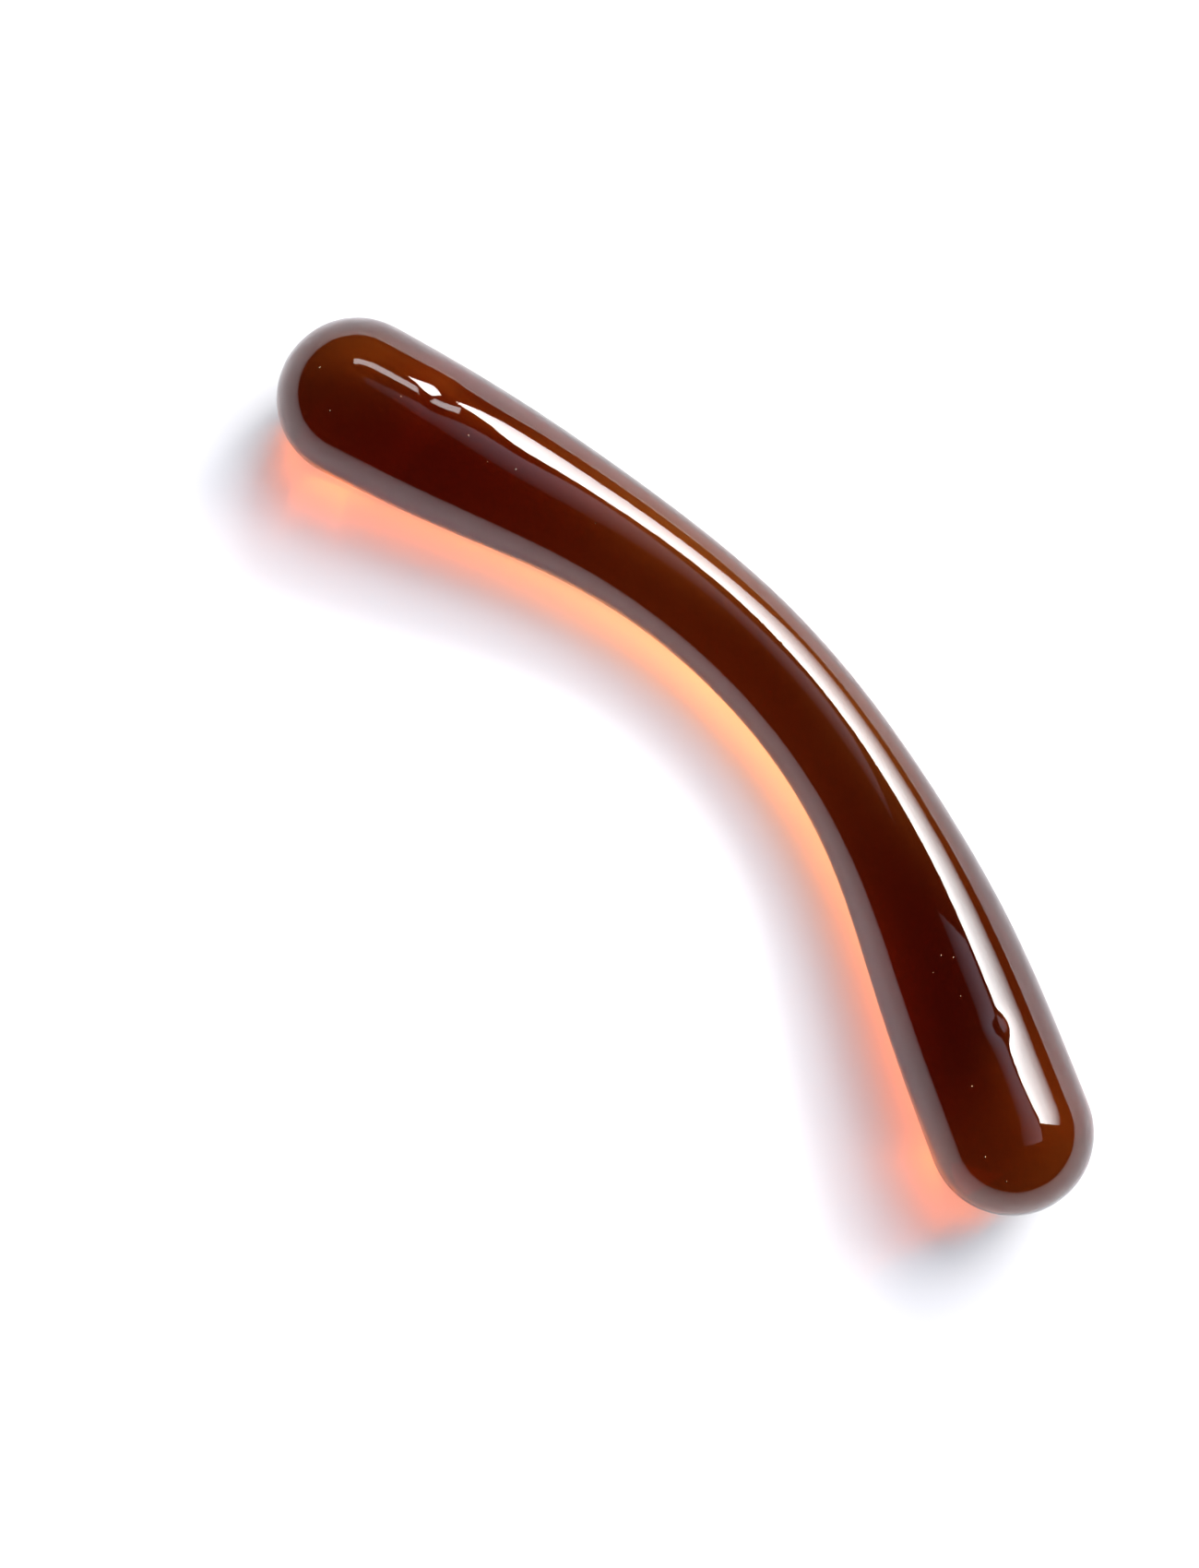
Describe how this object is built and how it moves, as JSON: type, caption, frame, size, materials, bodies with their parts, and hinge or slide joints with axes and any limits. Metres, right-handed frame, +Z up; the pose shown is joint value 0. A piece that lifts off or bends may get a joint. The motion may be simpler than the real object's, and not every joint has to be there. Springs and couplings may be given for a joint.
{
  "type": "bowed glass bar",
  "caption": "Solid bar of clear amber glass with a gentle bow, round bulb-like ends and a slimmer waist.",
  "frame": {"origin": "on the surface that the bar rests on, under the middle of its outer box", "axes": "+X from the first round end to the second, along the chord of the bow; +Y towards the outside of the bow; +Z up from the resting surface"},
  "size_m": [0.1732, 0.0414, 0.0264],
  "materials": {
    "amber_glass": "polished clear amber glass, glossy all over"
  },
  "bodies": {
    "root": {"glass_bar": "amber_glass"}
  },
  "joints": []
}
